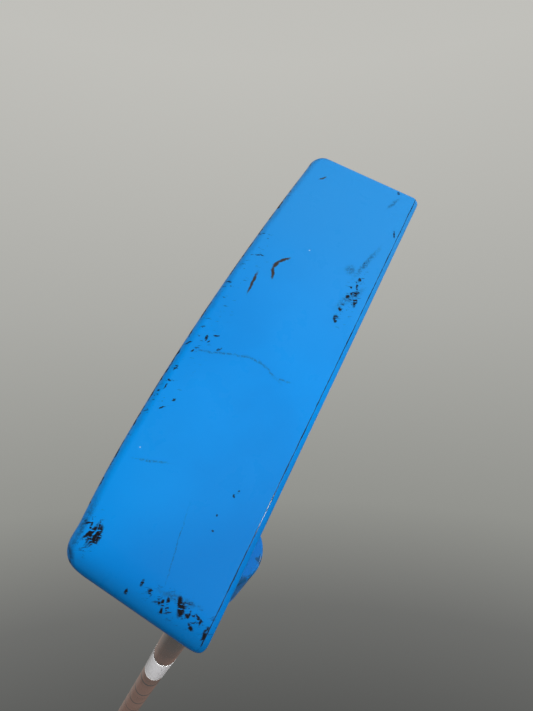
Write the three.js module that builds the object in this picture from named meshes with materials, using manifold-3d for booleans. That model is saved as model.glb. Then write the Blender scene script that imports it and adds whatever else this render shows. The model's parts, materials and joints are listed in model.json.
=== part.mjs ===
// A blade putter for a right-handed player. A painted cast head with a short hosel holds a stepped, plated
// steel shaft, which is glued in, and a rubber grip is taped on at the other end.
// Millimetres. The origin is the middle of the flat sole, +X runs from heel to toe, +Y towards the target
// and +Z up. The shaft leans towards the player, along -X.
import * as THREE from "three";
import { mergeVertices } from "three/addons/utils/BufferGeometryUtils.js";
import Module from "manifold-3d";

// The whole club
const CLUB_LENGTH = 864; // ground to the top of the grip, along the shaft's axis
const LIE_ANGLE = 71; // shaft to ground, in degrees
const LOFT_ANGLE = 3; // face to vertical, in degrees

// Head, seen from above
const HEAD_LENGTH = 118.4;
const HEAD_DEPTH = 33.1; // leading edge to the deepest point of the back edge
const BACK_BOW = 2.2; // how far the back edge bows out past its two corners
const BOW_SKEW = 14; // how far the control point of the bow lies towards the heel
const HEEL_TAPER = 2.4; // how far the heel end leans in from its front corner to its back corner
const TOE_TAPER = 1.2;
const BACK_CORNER = 5;
const FRONT_CORNER = 2.5;

// Head, seen from the front
const FACE_HEIGHT = 24.5; // top line over the ground, at the heel
const TOE_RISE = 1.2; // how much higher the top line is at the toe
const HEEL_ROLL = { length: 8, height: 3.5 }; // where the sole turns up into the heel end
const TOE_ROLL = { length: 3, height: 2.5 };
const HEEL_CORNER = 5;
const TOE_CORNER = 8;

// Head, seen from the end
const TOP_LINE = 6.2; // thickness of the blade at its top
const BLADE_FLARE = 1.3; // how much thicker the blade is where it meets the flange
const LEADING_BEVEL = 1.2; // width of the bevel under the leading edge
const BEVEL_HEIGHT = 1;
const FLANGE_HEIGHT = 7;
const FLANGE_EDGE = 1.4; // bevels along the back edge

// Weight pads behind the blade, at the heel and at the toe
const PAD_LENGTH = 23; // along the head, at the flange
const PAD_SLANT = 4; // how far a pad's inner wall leans towards its end of the head
const PAD_HEIGHT = 17; // over the ground, at the blade
const PAD_REAR_HEIGHT = 10;
const PAD_DEPTH = 20; // from the back of the blade's top line to the pad's rear edge
const PAD_REAR_SLOPE = 3;

// Sight line, a paint-filled groove across the flange
const SIGHT_WIDTH = 1.8;
const SIGHT_DEPTH = 1;
const SIGHT_LENGTH = 17;
const SIGHT_REAR_GAP = 3.2; // bare flange left between the groove and the back edge
const SIGHT_CLEARANCE = 0.05;
const SIGHT_SINK = 0.1; // how far the paint lies under the flange's surface

// Hosel
const SHAFT_FROM_HEEL = 27.9; // heel end of the head to where the shaft's axis meets the ground
const SHAFT_BEHIND_EDGE = 2.35; // leading edge to the shaft's axis
const HOSEL_DIAMETER = 14;
const HOSEL_UNDERSIDE = 24.2; // height of the flat underside, where it overhangs the face
const HOSEL_TOP = 47.6; // along the shaft's axis from the ground
const BORE_FLOOR = 29.2; // along the shaft's axis from the ground
const ROOT_BASE = 16; // height where the root of the neck leaves the blade
const ROOT_TOP = 33;
const ROOT_SPREAD = 5.5; // how much wider the root is at its base, on each side

// Shaft
const TIP_DIAMETER = 9.4;
const BUTT_DIAMETER = 14.7;
const TUBE_WALL = 0.5;
const STEP_COUNT = 13;
const FIRST_STEP = 165; // from the tip
const LAST_STEP = 18.5; // below the mouth of the grip, so that the grip sits on the widest part
const STEP_RAMP = 1.5; // length of the short cone at each step
const TIP_CLEARANCE = 0.3; // between the tip and the floor of the bore
const GLUE_THICKNESS = 0.25;
const SKIN_GAP = 0.05; // left between pieces that are glued or stuck together
const PLUG_LENGTH = 12;

// Label round the shaft
const LABEL_START = 144; // along the shaft's axis from the ground
const LABEL_LENGTH = 35;
const LABEL_THICKNESS = 0.15;

// Grip
const GRIP_LENGTH = 264;
const CAP_THICKNESS = 3;
const VENT_DIAMETER = 4;
const TAPE_THICKNESS = 0.3;
// Thickness of the rubber round its bore, at the mouth and at the butt
const MOUTH_RUBBER = { halfWidth: 2.45, front: 1.85, back: 2.45 };
const BUTT_RUBBER = { halfWidth: 4.65, front: 3.05, back: 7.45 };
const GRIP_BULGE = 2.2; // extra depth behind the hands, near the butt
const BULGE_FROM_BUTT = 55;
const BULGE_REACH = 60;
const GRIP_CORNER = 4;
const GRIP_STEPS = 22;

const ROUND_SEGMENTS = 32;
const CURVE_SEGMENTS = 10;
const CUT_MARGIN = 5; // how far a cutting shape runs past what it cuts

const lean = THREE.MathUtils.degToRad(90 - LIE_ANGLE);
const loft = THREE.MathUtils.degToRad(LOFT_ANGLE);
const heelX = -HEAD_LENGTH / 2;
const toeX = HEAD_LENGTH / 2;
const frontY = HEAD_DEPTH / 2;
const backY = -HEAD_DEPTH / 2;
const footX = heelX + SHAFT_FROM_HEEL;
const axisY = frontY - SHAFT_BEHIND_EDGE;
const boreRadius = TIP_DIAMETER / 2 + GLUE_THICKNESS + 2 * SKIN_GAP;
const shaftStart = BORE_FLOOR + TIP_CLEARANCE;
const gripTop = CLUB_LENGTH - CAP_THICKNESS;
const gripStart = gripTop - GRIP_LENGTH;
const gripBore = BUTT_DIAMETER / 2 + TAPE_THICKNESS + 2 * SKIN_GAP;
const gripMouth = aroundBore(MOUTH_RUBBER);
const gripButt = aroundBore(BUTT_RUBBER);

function aroundBore({ halfWidth, front, back }) {
  return { halfWidth: gripBore + halfWidth, front: gripBore + front, back: gripBore + back };
}

const wasm = await Module();
wasm.setup();

function toSolid(geometry) {
  const bare = geometry.clone();
  bare.deleteAttribute("normal");
  bare.deleteAttribute("uv");
  const merged = mergeVertices(bare, 1e-4);
  return new wasm.Manifold(
    new wasm.Mesh({
      numProp: 3,
      vertProperties: new Float32Array(merged.attributes.position.array),
      triVerts: new Uint32Array(merged.index.array),
    }),
  );
}

function toGeometry(solid) {
  const mesh = solid.getMesh();
  const geometry = new THREE.BufferGeometry();
  geometry.setAttribute("position", new THREE.BufferAttribute(mesh.vertProperties, 3));
  geometry.setIndex(new THREE.BufferAttribute(mesh.triVerts, 1));
  geometry.computeVertexNormals();
  return geometry;
}

// An outline through corners [x, y, before, after], each rounded by a curve that starts "before" short of the
// corner and ends "after" past it.
function roundedOutline(corners) {
  const points = corners.map(([x, y]) => new THREE.Vector2(x, y));
  const shape = new THREE.Shape();
  corners.forEach(([x, y, before, after = before], i) => {
    const last = points[(i + corners.length - 1) % corners.length];
    const next = points[(i + 1) % corners.length];
    const enter = points[i].clone().add(last.clone().sub(points[i]).setLength(before));
    const leave = points[i].clone().add(next.clone().sub(points[i]).setLength(after));
    if (i === 0) shape.moveTo(enter.x, enter.y);
    else shape.lineTo(enter.x, enter.y);
    shape.quadraticCurveTo(x, y, leave.x, leave.y);
  });
  return shape;
}

function polygon(points) {
  return new THREE.Shape(points.map(([x, y]) => new THREE.Vector2(x, y)));
}

function extrude(shape, depth, steps = 1) {
  return new THREE.ExtrudeGeometry(shape, {
    depth,
    steps,
    bevelEnabled: false,
    curveSegments: CURVE_SEGMENTS,
  });
}

// A profile drawn in X and Y, standing from z0 to z1.
function prismUp(shape, z0, z1) {
  return toSolid(extrude(shape, z1 - z0).translate(0, 0, z0));
}

// A profile drawn in X and Z, running from y0 to y1.
function prismForward(shape, y0, y1) {
  return toSolid(extrude(shape, y1 - y0).rotateX(Math.PI / 2).translate(0, y1, 0));
}

// A profile drawn in Y and Z, running from x0 to x1.
function prismAlong(shape, x0, x1) {
  return toSolid(extrude(shape, x1 - x0).rotateX(Math.PI / 2).rotateZ(Math.PI / 2).translate(x0, 0, 0));
}

// Moves a shape made round the Z axis onto the shaft's axis.
function ontoShaftAxis(geometry) {
  return geometry.rotateY(-lean).translate(footX, axisY, 0);
}

function rod(radius, from, to) {
  const height = to - from;
  const turned = new THREE.CylinderGeometry(radius, radius, height, ROUND_SEGMENTS);
  return turned.rotateX(Math.PI / 2).translate(0, 0, from + height / 2);
}

function sleeve(innerRadius, outerRadius, from, to) {
  const section = [
    [innerRadius, from],
    [outerRadius, from],
    [outerRadius, to],
    [innerRadius, to],
    [innerRadius, from],
  ].map(([r, z]) => new THREE.Vector2(r, z));
  return new THREE.LatheGeometry(section, ROUND_SEGMENTS).rotateX(Math.PI / 2);
}

function planOutline() {
  const cornerY = backY + BACK_BOW;
  const heelBack = new THREE.Vector2(heelX + HEEL_TAPER, cornerY);
  const toeBack = new THREE.Vector2(toeX - TOE_TAPER, cornerY);
  const shape = new THREE.Shape();
  shape.moveTo(heelX + FRONT_CORNER, frontY);
  shape.quadraticCurveTo(heelX, frontY, heelX, frontY - FRONT_CORNER);
  shape.lineTo(heelBack.x, heelBack.y + BACK_CORNER);
  shape.quadraticCurveTo(heelBack.x, heelBack.y, heelBack.x + BACK_CORNER, heelBack.y);
  shape.quadraticCurveTo(-BOW_SKEW, cornerY - 2 * BACK_BOW, toeBack.x - BACK_CORNER, toeBack.y);
  shape.quadraticCurveTo(toeBack.x, toeBack.y, toeBack.x, toeBack.y + BACK_CORNER);
  shape.lineTo(toeX, frontY - FRONT_CORNER);
  shape.quadraticCurveTo(toeX, frontY, toeX - FRONT_CORNER, frontY);
  return shape;
}

function frontOutline() {
  return roundedOutline([
    [heelX, 0, HEEL_ROLL.height, HEEL_ROLL.length],
    [toeX, 0, TOE_ROLL.length, TOE_ROLL.height],
    [toeX, FACE_HEIGHT + TOE_RISE, TOE_CORNER],
    [heelX, FACE_HEIGHT, HEEL_CORNER],
  ]);
}

// How far the face has leaned back at a height.
function faceY(z) {
  return frontY - (z - BEVEL_HEIGHT) * Math.tan(loft);
}

function bladeAndFlange() {
  const top = FACE_HEIGHT + TOE_RISE;
  const bladeBack = faceY(top) - TOP_LINE;
  return polygon([
    [frontY - LEADING_BEVEL, 0],
    [frontY, BEVEL_HEIGHT],
    [faceY(top), top],
    [bladeBack, top],
    [bladeBack - BLADE_FLARE, FLANGE_HEIGHT],
    [backY + FLANGE_EDGE, FLANGE_HEIGHT],
    [backY, FLANGE_HEIGHT - FLANGE_EDGE],
    [backY, FLANGE_EDGE],
    [backY + FLANGE_EDGE, 0],
  ]);
}

// A weight pad at one end of the head: side is -1 at the heel and 1 at the toe.
function weightPad(side) {
  const end = side * (toeX + CUT_MARGIN);
  const inner = side * (toeX - PAD_LENGTH);
  const innerTop = inner + side * PAD_SLANT;
  const elevation = polygon([
    [inner, FLANGE_HEIGHT - 1],
    [end, FLANGE_HEIGHT - 1],
    [end, PAD_HEIGHT],
    [innerTop, PAD_HEIGHT],
  ]);
  const padFront = faceY(PAD_HEIGHT) - TOP_LINE / 2;
  const rear = faceY(PAD_HEIGHT) - TOP_LINE - PAD_DEPTH;
  const section = polygon([
    [rear, FLANGE_HEIGHT - 1],
    [padFront, FLANGE_HEIGHT - 1],
    [padFront, PAD_HEIGHT],
    [rear + PAD_DEPTH - BLADE_FLARE, PAD_HEIGHT],
    [rear + PAD_REAR_SLOPE, PAD_REAR_HEIGHT],
  ]);
  const block = prismForward(elevation, rear - CUT_MARGIN, frontY);
  return block.intersect(prismAlong(section, Math.min(inner, end), Math.max(inner, end)));
}

// The flared foot that carries the hosel's barrel on the top line.
function neckRoot() {
  const radius = HOSEL_DIAMETER / 2;
  const baseX = footX - ROOT_BASE * Math.tan(lean);
  const topX = footX - ROOT_TOP * Math.tan(lean);
  const elevation = polygon([
    [baseX - radius - ROOT_SPREAD, ROOT_BASE],
    [baseX + radius + ROOT_SPREAD, ROOT_BASE],
    [topX + radius - 1, ROOT_TOP],
    [topX - radius + 1, ROOT_TOP],
  ]);
  return prismForward(elevation, axisY - radius + 1, faceY(FACE_HEIGHT));
}

function hoselBarrel() {
  const barrel = toSolid(ontoShaftAxis(rod(HOSEL_DIAMETER / 2, 0, HOSEL_TOP)));
  const over = new THREE.BoxGeometry(HEAD_LENGTH, HEAD_DEPTH + HOSEL_DIAMETER, CLUB_LENGTH);
  return barrel.intersect(toSolid(over.translate(0, axisY, HOSEL_UNDERSIDE + CLUB_LENGTH / 2)));
}

function sightOutline(clearance) {
  const half = SIGHT_WIDTH / 2 - clearance;
  const rear = backY + SIGHT_REAR_GAP + clearance;
  const front = rear + SIGHT_LENGTH - 2 * clearance;
  return roundedOutline([
    [-half, rear, half / 2],
    [half, rear, half / 2],
    [half, front, half / 2],
    [-half, front, half / 2],
  ]);
}

function putterHead() {
  const section = prismAlong(bladeAndFlange(), heelX - CUT_MARGIN, toeX + CUT_MARGIN);
  const plan = prismUp(planOutline(), -CUT_MARGIN, FACE_HEIGHT + TOE_RISE + CUT_MARGIN);
  const elevation = prismForward(frontOutline(), backY - CUT_MARGIN, frontY + CUT_MARGIN);
  const groove = prismUp(sightOutline(0), FLANGE_HEIGHT - SIGHT_DEPTH, FLANGE_HEIGHT + CUT_MARGIN);
  const bore = toSolid(ontoShaftAxis(rod(boreRadius, BORE_FLOOR, HOSEL_TOP + CUT_MARGIN)));
  const body = section.add(weightPad(-1)).add(weightPad(1)).intersect(plan).intersect(elevation);
  return toGeometry(body.add(neckRoot()).add(hoselBarrel()).subtract(groove).subtract(bore));
}

function sightLine() {
  const fill = SIGHT_DEPTH - SIGHT_SINK - SIGHT_CLEARANCE;
  return extrude(sightOutline(SIGHT_CLEARANCE), fill).translate(
    0,
    0,
    FLANGE_HEIGHT - SIGHT_DEPTH + SIGHT_CLEARANCE,
  );
}

function shaftTube() {
  const tip = TIP_DIAMETER / 2;
  const butt = BUTT_DIAMETER / 2;
  const rise = (butt - tip) / STEP_COUNT;
  const firstStep = shaftStart + FIRST_STEP;
  const pitch = (gripStart - LAST_STEP - firstStep) / (STEP_COUNT - 1);
  const outer = [new THREE.Vector2(tip, shaftStart)];
  for (let i = 0; i < STEP_COUNT; i++) {
    const z = firstStep + i * pitch;
    outer.push(new THREE.Vector2(tip + i * rise, z));
    outer.push(new THREE.Vector2(tip + (i + 1) * rise, z + STEP_RAMP));
  }
  outer.push(new THREE.Vector2(butt, gripTop - SKIN_GAP));
  const inner = outer.map((p) => new THREE.Vector2(p.x - TUBE_WALL, p.y)).reverse();
  const section = [...outer, ...inner, outer[0].clone()];
  return new THREE.LatheGeometry(section, ROUND_SEGMENTS).rotateX(Math.PI / 2);
}

// Closed D-shaped section: flat in front, rounded behind.
function gripSection({ halfWidth, front, back }) {
  const shape = new THREE.Shape();
  shape.moveTo(halfWidth - GRIP_CORNER, front);
  shape.lineTo(GRIP_CORNER - halfWidth, front);
  shape.quadraticCurveTo(-halfWidth, front, -halfWidth, front - GRIP_CORNER);
  shape.lineTo(-halfWidth, 0);
  shape.bezierCurveTo(-halfWidth, -0.7 * back, -0.45 * halfWidth, -back, 0, -back);
  shape.bezierCurveTo(0.45 * halfWidth, -back, halfWidth, -0.7 * back, halfWidth, 0);
  shape.lineTo(halfWidth, front - GRIP_CORNER);
  shape.quadraticCurveTo(halfWidth, front, halfWidth - GRIP_CORNER, front);
  return shape;
}

// Half width, front and back of the grip at a share of its length: 0 at the mouth and 1 at the butt.
function gripSizes(share) {
  const fromButt = (1 - share) * GRIP_LENGTH;
  const near = Math.max(0, 1 - Math.abs(fromButt - BULGE_FROM_BUTT) / BULGE_REACH);
  const bulge = GRIP_BULGE * THREE.MathUtils.smoothstep(near, 0, 1);
  const between = (key) => THREE.MathUtils.lerp(gripMouth[key], gripButt[key], share);
  return { halfWidth: between("halfWidth"), front: between("front"), back: between("back") + bulge };
}

function gripBody() {
  const geometry = extrude(gripSection(gripMouth), GRIP_LENGTH, GRIP_STEPS);
  const position = geometry.attributes.position;
  for (let i = 0; i < position.count; i++) {
    const sizes = gripSizes(position.getZ(i) / GRIP_LENGTH);
    const side = position.getY(i) > 0 ? "front" : "back";
    position.setX(i, (position.getX(i) * sizes.halfWidth) / gripMouth.halfWidth);
    position.setY(i, (position.getY(i) * sizes[side]) / gripMouth[side]);
  }
  return geometry.rotateZ(-Math.PI / 2).translate(0, 0, gripStart);
}

function grip() {
  const bore = rod(gripBore, gripStart - CUT_MARGIN, gripTop + CUT_MARGIN);
  return toGeometry(toSolid(gripBody()).subtract(toSolid(bore)));
}

function gripCap() {
  const disc = extrude(gripSection(gripButt), CAP_THICKNESS - SKIN_GAP).rotateZ(-Math.PI / 2);
  const vent = rod(VENT_DIAMETER / 2, gripTop - CUT_MARGIN, CLUB_LENGTH + CUT_MARGIN);
  return toGeometry(toSolid(disc.translate(0, 0, gripTop + SKIN_GAP)).subtract(toSolid(vent)));
}

const finishes = {
  bluePaint: { color: 0x0a8ce2, roughness: 0.28, metalness: 0 },
  whitePaint: { color: 0xf0f0ec, roughness: 0.5, metalness: 0 },
  chrome: { color: 0xc9cbcd, roughness: 0.12, metalness: 1 },
  glue: { color: 0xb9a77a, roughness: 0.4, metalness: 0 },
  plugPlastic: { color: 0x3a3a3a, roughness: 0.6, metalness: 0 },
  paper: { color: 0xe9e9e6, roughness: 0.7, metalness: 0 },
  tape: { color: 0xd9cfae, roughness: 0.9, metalness: 0 },
  rubber: { color: 0x1c1c1d, roughness: 0.8, metalness: 0 },
};

function piece(name, geometry, finish) {
  const mesh = new THREE.Mesh(geometry, new THREE.MeshStandardMaterial(finishes[finish]));
  mesh.name = name;
  return mesh;
}

const onShaft = new THREE.Group();
onShaft.position.set(footX, axisY, 0);
onShaft.rotation.y = -lean;

const tipInside = TIP_DIAMETER / 2 - TUBE_WALL - SKIN_GAP;
const glueInner = TIP_DIAMETER / 2 + SKIN_GAP;
const labelInner = TIP_DIAMETER / 2 + SKIN_GAP;
const tapeInner = BUTT_DIAMETER / 2 + SKIN_GAP;
const labelEnd = LABEL_START + LABEL_LENGTH;

onShaft.add(
  piece("shaft", shaftTube(), "chrome"),
  piece("tip_plug", rod(tipInside, shaftStart, shaftStart + PLUG_LENGTH), "plugPlastic"),
  piece("hosel_glue", sleeve(glueInner, glueInner + GLUE_THICKNESS, shaftStart, HOSEL_TOP), "glue"),
  piece("shaft_label", sleeve(labelInner, labelInner + LABEL_THICKNESS, LABEL_START, labelEnd), "paper"),
  piece("grip_tape", sleeve(tapeInner, tapeInner + TAPE_THICKNESS, gripStart, gripTop), "tape"),
  piece("grip", grip(), "rubber"),
  piece("grip_cap", gripCap(), "rubber"),
);

const putter = new THREE.Group();
putter.add(
  piece("putter_head", putterHead(), "bluePaint"),
  piece("sight_line", sightLine(), "whitePaint"),
  onShaft,
);

export default putter;
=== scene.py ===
import json
import math
import random

import bpy
from mathutils import Matrix, Vector


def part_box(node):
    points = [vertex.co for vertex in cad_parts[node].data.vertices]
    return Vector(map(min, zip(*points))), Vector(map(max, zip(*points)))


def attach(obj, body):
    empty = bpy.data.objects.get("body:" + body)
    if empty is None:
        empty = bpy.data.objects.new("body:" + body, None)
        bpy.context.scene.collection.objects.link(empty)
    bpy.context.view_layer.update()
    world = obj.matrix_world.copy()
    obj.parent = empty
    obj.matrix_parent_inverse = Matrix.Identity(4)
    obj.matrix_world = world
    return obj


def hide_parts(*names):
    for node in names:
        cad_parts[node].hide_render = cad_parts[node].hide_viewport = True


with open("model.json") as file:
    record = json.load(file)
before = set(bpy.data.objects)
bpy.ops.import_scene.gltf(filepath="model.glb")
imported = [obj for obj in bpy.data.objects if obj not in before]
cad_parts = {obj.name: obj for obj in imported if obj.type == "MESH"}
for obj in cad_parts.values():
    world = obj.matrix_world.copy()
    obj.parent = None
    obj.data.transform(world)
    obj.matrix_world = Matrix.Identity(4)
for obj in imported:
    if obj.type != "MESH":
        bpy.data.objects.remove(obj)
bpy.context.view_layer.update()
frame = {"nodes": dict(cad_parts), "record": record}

MM = 0.001


# Camera. It looks up at the sole from just under the heel with a wide lens. The head fills the picture, and
# the shaft runs away behind it.
EYE = Vector((-0.0480, 0.0077, -0.0979))
TURN = (math.radians(-156.46), math.radians(8.08), math.radians(63.39))
LENS = 25.1
NEAREST = 0.005
FURTHEST = 60.0

bpy.ops.object.camera_add(location=EYE, rotation=TURN)
camera = bpy.context.object
camera.data.lens = LENS
camera.data.clip_start = NEAREST
camera.data.clip_end = FURTHEST
bpy.context.scene.camera = camera
bpy.context.scene.view_settings.view_transform = "Standard"


# Studio. A pale floor lies well under the club, which is held up as if by hand. The walls are a plain grey
# that falls off softly to one side. Soft panels light the sole, the label and the rest of the club. The glint
# on the leading edge and the warm tone on the tube come from two panels that only show in gloss.
FLOOR_HEIGHT = -0.30
FLOOR_SIDE = 40.0
FLOOR_GREY = (0.62, 0.61, 0.59, 1)
DARKEST_GREY = (0.085, 0.086, 0.083, 1)
WALL_GREYS = [
    (0.15, (0.155, 0.157, 0.150, 1)),
    (0.30, (0.287, 0.290, 0.270, 1)),
    (0.62, (0.412, 0.412, 0.388, 1)),
]
PALEST_GREY = (0.530, 0.525, 0.495, 1)
WALL_FALL = Vector((0.79, -0.46, -0.40))
FALL_FROM, FALL_TO = -0.62, 0.5


def new_material(name):
    material = bpy.data.materials.new(name)
    material.use_nodes = True
    return material, material.node_tree.nodes, material.node_tree.links


def shader_of(nodes):
    return next(n for n in nodes if n.type == "BSDF_PRINCIPLED")


bpy.ops.mesh.primitive_plane_add(size=FLOOR_SIDE, location=(0, 0, FLOOR_HEIGHT))
floor = bpy.context.object
floor.name = "floor"
floor_material, nodes, links = new_material("pale_floor")
shader_of(nodes).inputs["Base Color"].default_value = FLOOR_GREY
shader_of(nodes).inputs["Roughness"].default_value = 0.9
floor.data.materials.append(floor_material)

world = bpy.data.worlds.new("studio_walls")
bpy.context.scene.world = world
world.use_nodes = True
nodes, links = world.node_tree.nodes, world.node_tree.links
direction = nodes.new("ShaderNodeTexCoord")
along = nodes.new("ShaderNodeVectorMath")
along.operation = "DOT_PRODUCT"
along.inputs[1].default_value = WALL_FALL
links.new(direction.outputs["Generated"], along.inputs[0])
fall = nodes.new("ShaderNodeValToRGB")
fall.color_ramp.elements[0].color = DARKEST_GREY
fall.color_ramp.elements[1].color = PALEST_GREY
for position, colour in WALL_GREYS:
    fall.color_ramp.elements.new(position).color = colour
shift = nodes.new("ShaderNodeMapRange")
shift.inputs["From Min"].default_value = FALL_FROM
shift.inputs["From Max"].default_value = FALL_TO
links.new(along.outputs["Value"], shift.inputs["Value"])
links.new(shift.outputs["Result"], fall.inputs["Fac"])
links.new(fall.outputs["Color"], nodes["Background"].inputs["Color"])


def soft_panel(name, place, aim, side, watts, colour=(1, 1, 1), spread=180, seen_in=("diffuse", "glossy")):
    bpy.ops.object.light_add(type="AREA", location=place)
    lamp = bpy.context.object
    lamp.name = name
    lamp.data.shape = "DISK"
    lamp.data.size = side
    lamp.data.energy = watts
    lamp.data.color = colour
    lamp.data.spread = math.radians(spread)
    lamp.rotation_euler = (Vector(aim) - Vector(place)).to_track_quat("-Z", "Y").to_euler()
    lamp.visible_camera = False
    lamp.visible_diffuse = "diffuse" in seen_in
    lamp.visible_glossy = "glossy" in seen_in


MATT_ONLY = ("diffuse",)
GLOSS_ONLY = ("glossy",)
WHITE = (1, 1, 1)
WARM_TONE = (1.0, 0.38, 0.20)
LABEL_BEAM = 24
soft_panel("panel_under", (0.08, 0.09, -0.275), (0.08, 0.09, 1.0), 0.36, 0.92, seen_in=MATT_ONLY)
soft_panel("panel_glint", (0.022, 0.27, -0.235), (-0.0325, 0.0153, 0), 0.03, 1.1, seen_in=GLOSS_ONLY)
soft_panel("panel_label", (-0.25, 0, -0.2), (-0.083, 0.014, 0.155), 0.08, 0.040, WHITE, LABEL_BEAM, MATT_ONLY)
soft_panel("panel_warm", (-0.22, 0.014, 0.55), (-0.03, 0.014, 0), 0.24, 0.016, WARM_TONE, seen_in=GLOSS_ONLY)
soft_panel("panel_overhead", (0.7, 0.9, 1.5), (-0.1, 0, 0.4), 1.2, 30, seen_in=MATT_ONLY)


# Head. A cast steel blade with a flange, two weight pads and a short hosel, all one piece. It is sprayed
# black, then sky blue, and the blue has worn through along the edges and in scrapes on the sole.
FACE_LEAN = math.tan(math.radians(3.0))
SHAFT_LEAN = math.radians(19.0)
HEEL_TOP = 24.5 * MM
TOE_TOP = 25.7 * MM
TOP_LINE = 6.2 * MM
BLADE_FLARE = 1.3 * MM
LEADING_BEVEL = 1.2 * MM
BEVEL_HEIGHT = 1.0 * MM
FLANGE_HEIGHT = 7.0 * MM
FLANGE_EDGE = 1.4 * MM
BACK_BOW = 2.2 * MM
BOW_MIDDLE = -14.0 * MM
HEEL_TAPER = 2.4 * MM
TOE_TAPER = 1.2 * MM
PAD_LENGTH = 23.0 * MM
PAD_SLANT = 4.0 * MM
PAD_HEIGHT = 17.0 * MM
PAD_REAR_HEIGHT = 10.0 * MM
PAD_DEPTH = 20.0 * MM
PAD_REAR_SLOPE = 3.0 * MM
# Each end is rounded by (length along the head, depth): under, over, behind and in front.
HEEL_ROUNDING = {"under": (8.0, 3.5), "over": (5.0, 5.0), "behind": (5.0, 5.0), "front": (2.5, 2.5)}
TOE_ROUNDING = {"under": (3.0, 2.5), "over": (8.0, 8.0), "behind": (5.0, 5.0), "front": (2.5, 2.5)}
END_SOFTNESS = (1.0, 0.5)
BACK_CORNER = 5 * MM
FRONT_FROM_MIDDLE = 16.55 * MM
END_REACH = 8.0 * MM
END_STATIONS = 14
STATION_PITCH = 2.2 * MM
MIDDLE_STATIONS = 28
CORNER_POINTS = 5
SOLE_POINTS = 10

head_low, head_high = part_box("putter_head")
heel_x, toe_x = head_low[0], head_high[0]
back_y, front_y = head_low[1], FRONT_FROM_MIDDLE
corner_y = back_y + BACK_BOW


def mix(start, end, share):
    return start + (end - start) * share


def ease(share):
    share = min(1.0, max(0.0, share))
    return share * share * (3 - 2 * share)


def only(piece):
    bpy.ops.object.select_all(action="DESELECT")
    piece.hide_set(False)
    piece.select_set(True)
    bpy.context.view_layer.objects.active = piece


def apply_modifier(piece, kind, **settings):
    only(piece)
    modifier = piece.modifiers.new(kind.title(), kind)
    for key, value in settings.items():
        setattr(modifier, key, value)
    bpy.ops.object.modifier_apply(modifier=modifier.name)


def cut_or_join(piece, operation, other):
    apply_modifier(piece, "BOOLEAN", operation=operation, object=other, solver="EXACT")
    bpy.data.objects.remove(other)


def lofted(name, sections, capped=True):
    """A body through rings of points. A grid is bent onto them, its seam is merged and it may be capped."""
    rings, around = len(sections), len(sections[0])
    bpy.ops.object.select_all(action="DESELECT")
    bpy.ops.mesh.primitive_grid_add(x_subdivisions=around, y_subdivisions=rings - 1, size=1)
    piece = bpy.context.object
    piece.name = name
    for i, vertex in enumerate(piece.data.vertices):
        vertex.co = sections[i // (around + 1)][i % (around + 1) % around]
    bpy.ops.object.mode_set(mode="EDIT")
    bpy.ops.mesh.select_all(action="SELECT")
    bpy.ops.mesh.remove_doubles(threshold=0.0001 * MM)
    if capped:
        bpy.ops.mesh.select_all(action="DESELECT")
        bpy.ops.mesh.select_mode(type="EDGE")
        bpy.ops.mesh.select_non_manifold()
        bpy.ops.mesh.edge_face_add()
        bpy.ops.mesh.select_all(action="SELECT")
    bpy.ops.mesh.normals_make_consistent(inside=False)
    bpy.ops.mesh.select_mode(type="VERT")
    bpy.ops.object.mode_set(mode="OBJECT")
    return piece


def rounded_ring(corners):
    """Points round a closed profile of (y, z, cut) corners, each corner eased over its cut."""
    ring = []
    for i, (y, z, cut) in enumerate(corners):
        here = Vector((y, z))
        to_last = Vector(corners[i - 1][:2]) - here
        to_next = Vector(corners[(i + 1) % len(corners)][:2]) - here
        enter = here + to_last.normalized() * min(cut, 0.45 * to_last.length)
        leave = here + to_next.normalized() * min(cut, 0.45 * to_next.length)
        for step in range(CORNER_POINTS):
            t = step / (CORNER_POINTS - 1)
            ring.append(enter * (1 - t) ** 2 + here * (2 * t * (1 - t)) + leave * t ** 2)
    return ring


def rounding(sizes, from_end):
    """How far a rounded end has drawn in at a distance from it."""
    length, depth = sizes
    share = min(1.0, max(0.0, from_end) / (length * MM))
    return depth * MM * (1 - math.sqrt(share)) ** 2


def back_edge(x):
    """The bowed back edge, before its two corners are rounded."""
    heel_end = heel_x + HEEL_TAPER + BACK_CORNER
    toe_end = toe_x - TOE_TAPER - BACK_CORNER
    a = heel_end - 2 * BOW_MIDDLE + toe_end
    b = 2 * (BOW_MIDDLE - heel_end)
    x = min(toe_end, max(heel_end, x))
    t = (math.sqrt(b * b - 4 * a * (heel_end - x)) - b) / (2 * a)
    return corner_y - 4 * t * (1 - t) * BACK_BOW


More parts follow.
